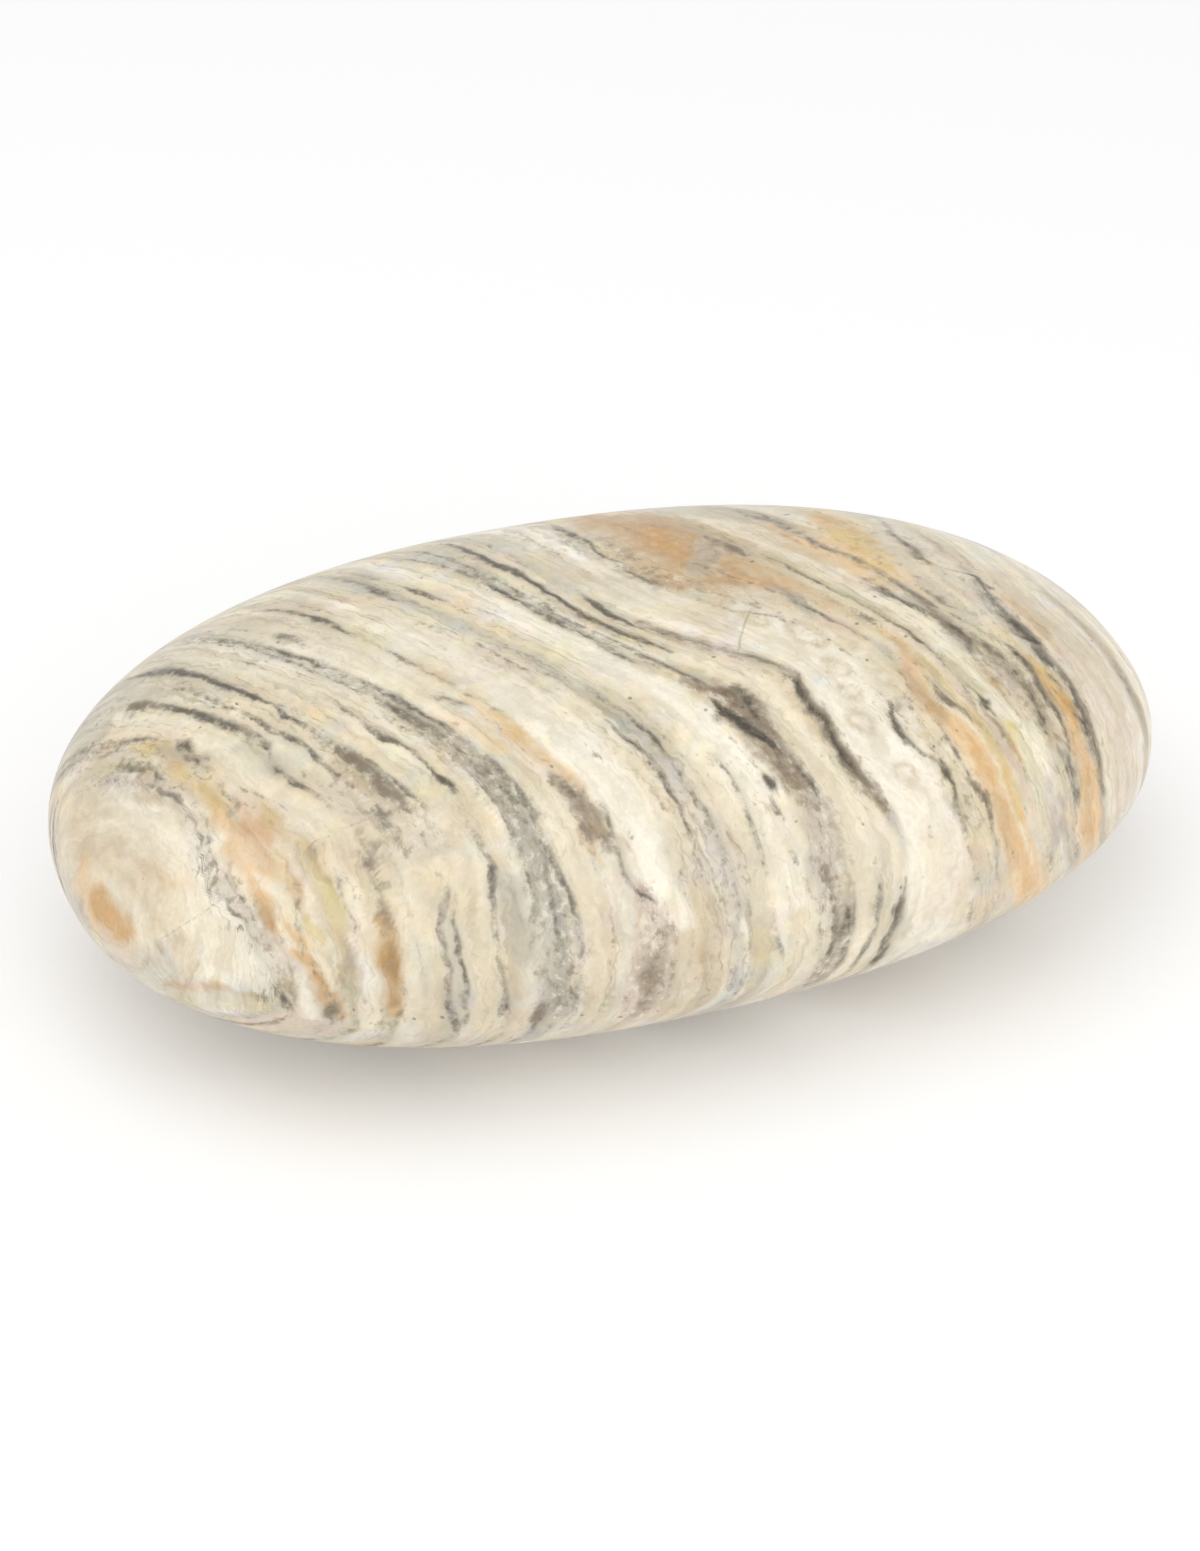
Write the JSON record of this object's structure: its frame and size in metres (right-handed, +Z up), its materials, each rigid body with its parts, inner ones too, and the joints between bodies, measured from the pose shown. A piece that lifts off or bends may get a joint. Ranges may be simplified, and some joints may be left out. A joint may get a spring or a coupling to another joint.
{
  "type": "aragonite palm stone",
  "caption": "Smooth flattened oval of polished banded stone, to hold in the palm or set down on its belly.",
  "frame": {"origin": "middle of the small flat that the stone rests on, which is the bottom centre of its box", "axes": "+X along the stone's length, towards its slightly narrower end; +Y across its width; +Z up through the dome"},
  "size_m": [0.07, 0.044, 0.023],
  "materials": {
    "aragonite": "polished"
  },
  "bodies": {
    "root": {"stone": "aragonite"}
  },
  "joints": []
}
